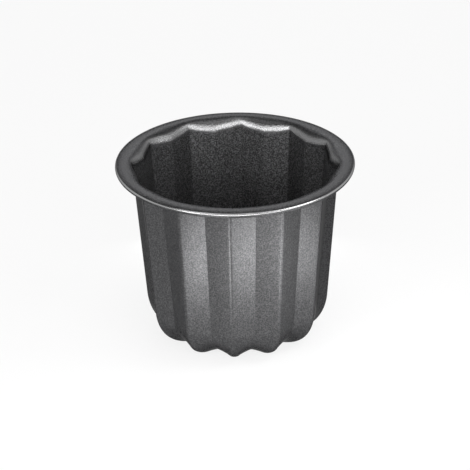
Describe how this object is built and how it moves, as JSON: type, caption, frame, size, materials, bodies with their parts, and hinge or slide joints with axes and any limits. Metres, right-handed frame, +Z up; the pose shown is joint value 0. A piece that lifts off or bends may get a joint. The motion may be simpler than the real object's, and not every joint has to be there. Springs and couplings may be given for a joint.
{
  "type": "cake mould",
  "caption": "Tall fluted cake mould in coated sheet steel, with faceted flutes, a rounded base corner, a flat base and a domed flange with a rolled edge.",
  "frame": {"origin": "centre of the base's underside, on the table", "axes": "+Z up along the mould's axis, towards the open rim; the front is -Y, with a ridge 3.4 degrees to its left"},
  "size_m": [0.1598, 0.1598, 0.126],
  "materials": {
    "nonstick_coating": "dark grey metallic non-stick coating with a fine grain, satin"
  },
  "bodies": {
    "root": {"fluted_mould": "nonstick_coating"}
  },
  "joints": []
}
